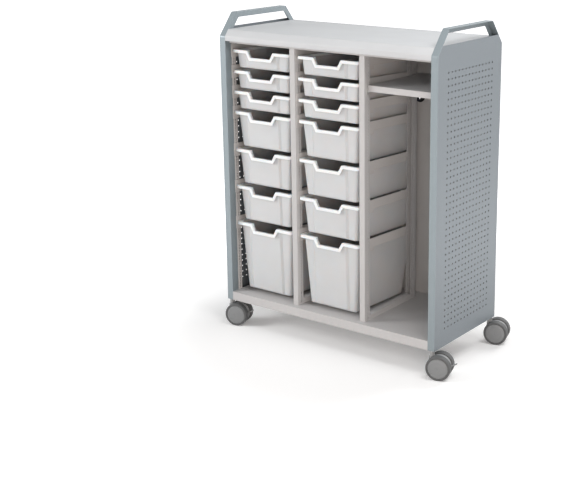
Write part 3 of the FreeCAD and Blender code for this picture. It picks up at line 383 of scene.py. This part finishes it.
def powder_coat(name, base, radius):
    """Baked powder paint: a fine orange peel with a faint mottle."""
    recipe = Recipe(name)
    peel = recipe.noise(ORANGE_PEEL)
    recipe.shade(
        Base_Color=recipe.tint(recipe.noise(MOTTLE), base, MOTTLE_TINT),
        Roughness=recipe.between(peel, COAT_ROUGH),
        Normal=recipe.relief(peel, COAT_RELIEF, radius),
        Specular_IOR_Level=COAT_GLOSS,
    )
    return recipe.finish


def silver_coat(name, base, radius=0.0, shade_holes=False):
    """Silver powder paint: metal flake under a satin coat, with painted shade, near black, on the walls and rolled
    edges of punched holes.
    """
    recipe = Recipe(name)
    peel = recipe.noise(ORANGE_PEEL)
    coat = recipe.tint(recipe.noise(METAL_FLAKE), base, FLAKE_TINT)
    if shade_holes:
        # Painted shade: the walls and rolled edges of the holes are coloured near black.
        coat = recipe.mix(recipe.painted_hole_shade_mask(), coat, opaque(PAINTED_HOLE_SHADE))
    recipe.shade(
        Base_Color=coat,
        Metallic=SILVER_METAL,
        Roughness=recipe.between(peel, SILVER_ROUGH),
        Normal=recipe.relief(peel, SILVER_RELIEF, radius),
    )
    return recipe.finish


def moulded(name, base, radius, rough):
    """Injection-moulded plastic with a fine spark-eroded grain."""
    recipe = Recipe(name)
    spark = recipe.noise(SPARK_GRAIN)
    recipe.shade(
        Base_Color=recipe.tint(recipe.noise(CLOUD), base, CLOUD_TINT),
        Roughness=recipe.between(spark, rough),
        Normal=recipe.relief(spark, MOULD_RELIEF, radius),
    )
    return recipe.finish


def tote_plastic(name, base, rim, radius, extent):
    """Frosted white plastic with a painted highlight that whitens the rim and front lip, for totes of one extent.
    """
    recipe = Recipe(name)
    spark = recipe.noise(SPARK_GRAIN)
    wall = recipe.tint(recipe.noise(CLOUD), base, CLOUD_TINT)
    recipe.shade(
        # Painted highlight: the rim and front lip take the whiter rim colour.
        Base_Color=recipe.mix(recipe.rim_highlight_mask(extent), wall, opaque(rim)),
        Roughness=recipe.between(spark, TOTE_ROUGH),
        Normal=recipe.relief(spark, TOTE_RELIEF, radius),
        Subsurface_Weight=TOTE_SCATTER,
        Subsurface_Radius=TOTE_DEPTHS,
        Subsurface_Scale=1.0,
    )
    return recipe.finish


def zinc_plate(name, base, radius):
    """Bright zinc plate with faint drawn lines."""
    recipe = Recipe(name)
    drawn = recipe.noise(DRAWN_LINES, DRAWN_STRETCH)
    recipe.shade(
        Base_Color=recipe.tint(drawn, base, DRAWN_TINT),
        Metallic=ZINC_METAL,
        Roughness=recipe.between(drawn, ZINC_ROUGH),
        Normal=recipe.relief(drawn, ZINC_RELIEF, radius),
    )
    return recipe.finish


def soft_tread(name, base):
    """Soft grey tread plastic, dull and slightly scuffed."""
    recipe = Recipe(name)
    scuff = recipe.noise(SCUFF)
    recipe.shade(
        Base_Color=recipe.tint(scuff, base, SCUFF_TINT),
        Roughness=recipe.between(scuff, TREAD_ROUGH),
        Normal=recipe.relief(recipe.noise(TREAD_GRAIN), TREAD_RELIEF),
        Specular_IOR_Level=TREAD_GLOSS,
    )
    return recipe.finish


def seen_rays(tree):
    """1 for the camera's rays and for those that it sees in or through something, else 0."""
    path = tree.nodes.new("ShaderNodeLightPath")
    seen = path.outputs["Is Camera Ray"]
    for ray in ("Is Glossy Ray", "Is Transmission Ray"):
        either = tree.nodes.new("ShaderNodeMath")
        either.operation = "MAXIMUM"
        tree.links.new(seen, either.inputs[0])
        tree.links.new(path.outputs[ray], either.inputs[1])
        seen = either.outputs["Value"]
    return seen


def floor_finish(studio):
    """White seamless paper: the camera and reflections see it as a backdrop that keeps the shadow."""
    recipe = Recipe("studio_floor")
    seen = seen_rays(recipe.tree)
    away = recipe.node("ShaderNodeVectorMath", {"operation": "LENGTH"}, Vector=recipe.place)
    rise = recipe.node(
        "ShaderNodeMapRange", {"interpolation_type": "SMOOTHSTEP"}, Value=away.outputs["Value"],
        From_Min=studio.glow_start, From_Max=studio.glow_end, To_Min=studio.floor_glow, To_Max=1.0)
    recipe.shade(
        Base_Color=recipe.mix(seen, opaque(studio.floor_bounce), opaque(studio.floor_white)),
        Roughness=PAPER_ROUGH,
        Specular_IOR_Level=PAPER_GLOSS,
        Emission_Color=opaque(WHITE),
        Emission_Strength=recipe.reckon("MULTIPLY", seen, rise.outputs["Result"]),
    )
    return recipe.finish


def carcass_middle():
    """The point on the floor under the middle of the top."""
    low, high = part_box("top_panel")
    return Vector(((low.x + high.x) / 2, (low.y + high.y) / 2, 0.0))


def add_mesh(name, shape):
    """A new object in the scene with the mesh of a bmesh, which is used up."""
    mesh = bpy.data.meshes.new(name)
    shape.to_mesh(mesh)
    shape.free()
    item = bpy.data.objects.new(name, mesh)
    bpy.context.scene.collection.objects.link(item)
    return item


def evenly(start, end, steps):
    """Numbers from a start to an end in even steps."""
    return [start + (end - start) * step / steps for step in range(steps + 1)]


def arc(centre, radius, start, end, steps):
    """Points along an arc in a profile, between two angles in degrees."""
    turns = evenly(math.radians(start), math.radians(end), steps)
    return [(centre[0] + radius * math.cos(turn), centre[1] + radius * math.sin(turn)) for turn in turns]


def turn_point(shape, radius, height, steps):
    """The ring of vertices that a point of a profile turns into, or one vertex on the axis."""
    if radius < ON_AXIS:
        return [shape.verts.new((0, 0, height))]
    angles = [2 * math.pi * step / steps for step in range(steps)]
    return [shape.verts.new((radius * math.cos(a), radius * math.sin(a), height)) for a in angles]


def join_rings(shape, first, second, steps):
    """Faces between two rings of vertices, either of which may be one vertex."""
    if len(first) == 1 and len(second) == 1:
        return
    for step in range(steps):
        after = (step + 1) % steps
        corners = [
            first[step % len(first)],
            first[after % len(first)],
            second[after % len(second)],
            second[step % len(second)],
        ]
        shape.faces.new(list(dict.fromkeys(corners)))


def turn_profile(name, profile, steps, place):
    """A mesh turned from a closed profile of (radius, height) about the Z axis of a placement."""
    shape = bmesh.new()
    rings = [turn_point(shape, radius, height, steps) for radius, height in profile]
    for first, second in zip(rings, rings[1:] + rings[:1]):
        join_rings(shape, first, second, steps)
    bmesh.ops.recalc_face_normals(shape, faces=shape.faces)
    for face in shape.faces:
        face.smooth = True
    for edge in shape.edges:
        edge.smooth = len(edge.link_faces) == 2 and edge.calc_face_angle() < SMOOTH_BEND
    shape.transform(place)
    return add_mesh(name, shape)


def tread_profile(sizes):
    """Section of a tread with round shoulders, from its inner face outwards."""
    inner, round_off, width = sizes.tread_inner, sizes.tread_round, sizes.wheel_width
    shoulder = sizes.tread_radius - round_off
    profile = [(inner, 0.0)]
    profile += arc((shoulder, round_off), round_off, -90, 0, SHOULDER_STEPS)
    profile += arc((shoulder, width - round_off), round_off, 0, 90, SHOULDER_STEPS)
    profile += [(inner + TREAD_LIP_RUN, width), (inner, width - TREAD_LIP_DROP)]
    return profile


def cap_profile(sizes):
    """Section of a wheel's body: hub and recess inside, domed cap with a step and a dimple outside."""
    width, edge, ring, boss = sizes.wheel_width, sizes.cap_radius, sizes.cap_ring, sizes.boss_radius
    bulge = (edge ** 2 + sizes.cap_rise ** 2) / (2 * sizes.cap_rise)
    seat = sizes.tread_inner - CAP_GAP
    inside = ring - RING_RUN

    def dome(radius):
        """Height of the cap's dome at a radius."""
        return width + sizes.cap_rise - bulge + math.sqrt(bulge ** 2 - radius ** 2)

    def sunk(radius):
        """Height of the dome inside the cap's step."""
        return dome(radius) - sizes.cap_step

    profile = [
        (sizes.bore_radius, 0.0),
        (sizes.hub_radius, 0.0),
        (sizes.hub_radius + HUB_DRAFT, sizes.inner_recess),
        (seat - RECESS_RUN, sizes.inner_recess),
        (seat, RECESS_BEVEL),
        (seat, width - CAP_SEAT_DROP),
        (edge, width - CAP_EDGE_DROP),
    ]
    middle = (edge - CAP_EDGE_ROUND, width - CAP_EDGE_ROUND)
    profile += arc(middle, CAP_EDGE_ROUND, 0, CAP_EDGE_TURN, CAP_EDGE_STEPS)
    profile += [(radius, dome(radius)) for radius in evenly(edge - DOME_INSET, ring, DOME_STEPS)]
    profile.append((inside, sunk(ring)))
    profile += [(radius, sunk(radius)) for radius in evenly(inside, boss, RING_STEPS)[1:]]
    profile += [
        (boss - DIMPLE_RUN, sunk(boss) - DIMPLE_EDGE),
        (0.0, sunk(0.0) - DIMPLE_DEPTH),
        (0.0, sizes.bore_depth),
        (sizes.bore_radius, sizes.bore_depth),
    ]
    return profile


def wheel_place(node, gap):
    """Placement of a wheel: origin in the middle of its inner face, Z along its axle and outwards."""
    joint = next(joint for joint in frame["joints"] if joint["child"] == node)
    hub = Vector(joint["pos_m"])
    axle = Vector(joint["axis"]).normalized()
    low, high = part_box(node)
    if ((low + high) / 2 - hub).dot(axle) < 0:
        axle = -axle
    return Matrix.Translation(hub + axle * gap) @ axle.to_track_quat("Z", "X").to_matrix().to_4x4()


class CABINET_OT_coat_end_frames(Operator):
    """Paint the end frames and the perforated panels"""

    bl_idname = "cabinet.coat_end_frames"
    bl_label = "Coat end frames"

    def execute(self, context):
        finishes, sizes = context.scene.cabinet_finishes, context.scene.cabinet_sizes
        hoop = silver_coat("frame_silver", finishes.frame_silver, sizes.edge_round)
        for item in nodes_in("frame_silver"):
            dress(item, hoop)
        # The perforated panels get near-black painted shade on the walls and rolled edges of their holes.
        skin = silver_coat("panel_silver", finishes.panel_silver, shade_holes=True)
        for item in nodes_in("panel_silver"):
            dress(item, skin)
        return {"FINISHED"}


class CABINET_OT_coat_carcass(Operator):
    """Paint the top, base, posts, rails, shelf, back and runners"""

    bl_idname = "cabinet.coat_carcass"
    bl_label = "Coat carcass"

    def execute(self, context):
        finishes, sizes = context.scene.cabinet_finishes, context.scene.cabinet_sizes
        for slot in ("top_grey", "light_grey", "inner_grey"):
            finish = powder_coat(slot, getattr(finishes, slot), sizes.edge_round)
            for item in nodes_in(slot):
                dress(item, finish)
        return {"FINISHED"}


class CABINET_OT_finish_totes(Operator):
    """Give the totes their frosted white plastic"""

    bl_idname = "cabinet.finish_totes"
    bl_label = "Finish totes"

    def execute(self, context):
        finishes, sizes = context.scene.cabinet_finishes, context.scene.cabinet_sizes
        made = {}
        for item in nodes_in("tote_white"):
            low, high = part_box(item.name)
            extent = high - low
            deep = round(extent.z, 2)
            if deep not in made:
                name = f"tote_white_{len(made) + 1}"
                made[deep] = tote_plastic(
                    name, finishes.tote_white, finishes.rim_highlight_white, sizes.tote_round, extent)
            dress(item, made[deep])
        return {"FINISHED"}


class CABINET_OT_finish_hardware(Operator):
    """Plate the bolts, stems, axles and clips and mould the grommet"""

    bl_idname = "cabinet.finish_hardware"
    bl_label = "Finish hardware"

    def execute(self, context):
        finishes, sizes = context.scene.cabinet_finishes, context.scene.cabinet_sizes
        zinc = zinc_plate("plated_steel", finishes.plated_steel, sizes.edge_round / 2)
        for item in nodes_in("plated_steel"):
            dress(item, zinc)
        black = moulded("grommet_black", finishes.grommet_black, sizes.edge_round / 2, GROMMET_ROUGH)
        for item in nodes_in("grommet_black"):
            dress(item, black)
        return {"FINISHED"}


class CABINET_OT_make_casters(Operator):
    """Turn the casters' treads and caps and mould their hoods and levers"""

    bl_idname = "cabinet.make_casters"
    bl_label = "Make casters"

    def execute(self, context):
        finishes, sizes = context.scene.cabinet_finishes, context.scene.cabinet_sizes
        hood = moulded("caster_grey", finishes.caster_grey, sizes.edge_round, HOOD_ROUGH)
        for item in nodes_in("caster_grey", "lever_grey"):
            dress(item, hood)
        cap_finish = moulded("cap_grey", finishes.cap_grey, 0.0, CAP_ROUGH)
        tread_finish = soft_tread("tread_grey", finishes.tread_grey)
        wheels = [node for node in frame["nodes"] if SLOT_OF[node] == "wheel_grey"]
        for node in sorted(wheels):
            place = wheel_place(node, sizes.wheel_gap)
            for part, profile, finish in (
                ("cap", cap_profile(sizes), cap_finish),
                ("tread", tread_profile(sizes), tread_finish),
            ):
                item = turn_profile(f"{node}_{part}", profile, sizes.wheel_steps, place)
                dress(item, finish)
                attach(item, node)
                if part == "cap":
                    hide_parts(node)
        return {"FINISHED"}


class CABINET_OT_set_stage(Operator):
    """Lay the floor, light the studio and set the camera"""

    bl_idname = "cabinet.set_stage"
    bl_label = "Set stage"

    def execute(self, context):
        studio = context.scene.cabinet_studio
        self.lay_floor(studio)
        self.light_sky(context, studio)
        self.hang_lamps(context, studio)
        self.aim_camera(context, studio)
        context.scene.view_settings.view_transform = "Standard"
        return {"FINISHED"}

    def lay_floor(self, studio):
        shape = bmesh.new()
        half = studio.floor_size / 2
        bmesh.ops.create_grid(shape, x_segments=FLOOR_CELLS, y_segments=FLOOR_CELLS, size=half)
        floor = add_mesh("studio_floor", shape)
        dress(floor, floor_finish(studio))

    def light_sky(self, context, studio):
        world = bpy.data.worlds.new("studio_sky")
        context.scene.world = world
        world.use_nodes = True
        tree = world.node_tree
        sky = tree.nodes["Background"]
        sky.inputs["Color"].default_value = opaque(WHITE)
        level = tree.nodes.new("ShaderNodeMapRange")
        level.inputs["To Min"].default_value = studio.sky_level
        tree.links.new(seen_rays(tree), level.inputs["Value"])
        tree.links.new(level.outputs["Result"], sky.inputs["Strength"])

    def hang_lamps(self, context, studio):
        middle = carcass_middle()
        for name, place, target, side, light in LAMPS:
            lamp = bpy.data.lights.new(f"{name}_lamp", "AREA")
            lamp.energy = getattr(studio, f"{name}_level")
            lamp.size = side
            lamp.color = light
            item = bpy.data.objects.new(f"{name}_lamp", lamp)
            item.location = middle + Vector(place)
            item.rotation_euler = (Vector(target) - Vector(place)).to_track_quat("-Z", "Y").to_euler()
            item.visible_camera = False
            context.scene.collection.objects.link(item)

    def aim_camera(self, context, studio):
        camera = bpy.data.cameras.new("photo_camera")
        camera.sensor_width = SENSOR_WIDTH
        camera.lens = studio.camera_lens
        camera.shift_x, camera.shift_y = studio.camera_shift
        camera.clip_end = VIEW_DEPTH
        item = bpy.data.objects.new("photo_camera", camera)
        azimuth, elevation, roll = (math.radians(part) for part in studio.camera_turn)
        turn = Euler((math.pi / 2 - elevation, 0.0, azimuth)).to_matrix() @ Matrix.Rotation(roll, 3, "Z")
        item.matrix_world = Matrix.Translation(carcass_middle() + Vector(studio.camera_place)) @ turn.to_4x4()
        context.scene.collection.objects.link(item)
        context.scene.camera = item


OPERATORS = (
    CABINET_OT_coat_end_frames,
    CABINET_OT_coat_carcass,
    CABINET_OT_finish_totes,
    CABINET_OT_finish_hardware,
    CABINET_OT_make_casters,
    CABINET_OT_set_stage,
)


class CABINET_PT_sidebar(Panel):
    """Steps that dress the cabinet, in order"""

    bl_idname = "CABINET_PT_sidebar"
    bl_label = "Tote storage cabinet"
    bl_space_type = "VIEW_3D"
    bl_region_type = "UI"
    bl_category = "Cabinet"

    def draw(self, context):
        for step in OPERATORS:
            self.layout.operator(step.bl_idname)


GROUPS = (
    ("cabinet_finishes", CabinetFinishes),
    ("cabinet_sizes", CabinetSizes),
    ("cabinet_studio", CabinetStudio),
)


def register():
    for name, group in GROUPS:
        bpy.utils.register_class(group)
        setattr(bpy.types.Scene, name, PointerProperty(type=group))
    for item in (*OPERATORS, CABINET_PT_sidebar):
        bpy.utils.register_class(item)


def unregister():
    for item in (CABINET_PT_sidebar, *reversed(OPERATORS)):
        bpy.utils.unregister_class(item)
    for name, group in reversed(GROUPS):
        delattr(bpy.types.Scene, name)
        bpy.utils.unregister_class(group)


def main():
    register()
    for step in OPERATORS:
        area, action = step.bl_idname.split(".")
        getattr(getattr(bpy.ops, area), action)()


if __name__ == "__main__":
    main()
